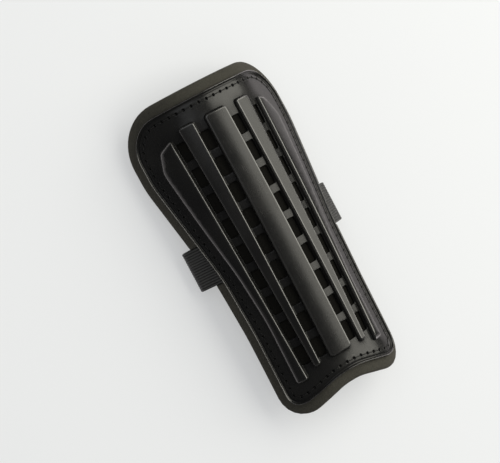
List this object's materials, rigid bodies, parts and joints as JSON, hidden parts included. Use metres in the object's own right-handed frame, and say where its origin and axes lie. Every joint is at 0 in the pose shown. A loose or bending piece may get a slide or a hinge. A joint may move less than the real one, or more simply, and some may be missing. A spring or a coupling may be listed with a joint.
{
  "type": "shin guard",
  "caption": "Curved ribbed and vented shin shell stitched to a foam backing, with an elastic calf strap closed by hook and loop.",
  "frame": {"origin": "middle of the hollow foam face that rests on the leg, under the crown line at mid length", "axes": "+Z out of the shell, away from the leg; +Y along the crown line towards the knee end; +X to the right, seen from the front with the knee end up"},
  "size_m": [0.1106, 0.2187, 0.0449],
  "materials": {
    "shell_plastic": "semi-gloss moulded black",
    "foam": "fine-grained EVA foam, dark olive grey",
    "thread": "black polyester thread",
    "elastic": "black ribbed woven elastic",
    "hook": "black nylon hook tape",
    "loop": "black brushed loop tape"
  },
  "bodies": {
    "guard": {"shell": "shell_plastic", "foam_backing": "foam", "seam_needle_thread": "thread", "seam_bobbin_thread": "thread", "strap_left_anchor": "elastic", "strap_left_fold": "elastic", "strap_right_anchor": "elastic", "strap_right_fold": "elastic"},
    "long_strap": {"strap_left_band": "elastic"},
    "long_strap_end": {"strap_left_end": "elastic", "hook_patch": "hook", "hook_patch_thread": "thread"},
    "short_strap": {"strap_right_band": "elastic", "loop_patch": "loop", "loop_patch_thread": "thread"}
  },
  "joints": [
    {"name": "long_strap_swing", "type": "hinge", "parent": "guard", "child": "long_strap", "pos_m": [-0.04723, 0, -0.02793], "axis": [0, 1, 0], "range_deg": [0, 120], "deforming": ["strap_left_fold"]},
    {"name": "short_strap_swing", "type": "hinge", "parent": "guard", "child": "short_strap", "pos_m": [0.04876, 0, -0.02635], "axis": [0, -1, 0], "range_deg": [0, 120], "deforming": ["strap_right_fold"]},
    {"name": "long_strap_stretch", "type": "slide", "parent": "long_strap", "child": "long_strap_end", "axis": [1, 0, 0], "range_m": [0, 0.015], "deforming": ["strap_left_band"]}
  ],
  "couplings": [
    {"joint": "short_strap_swing", "follows": "long_strap_swing", "ratio": 1}
  ]
}
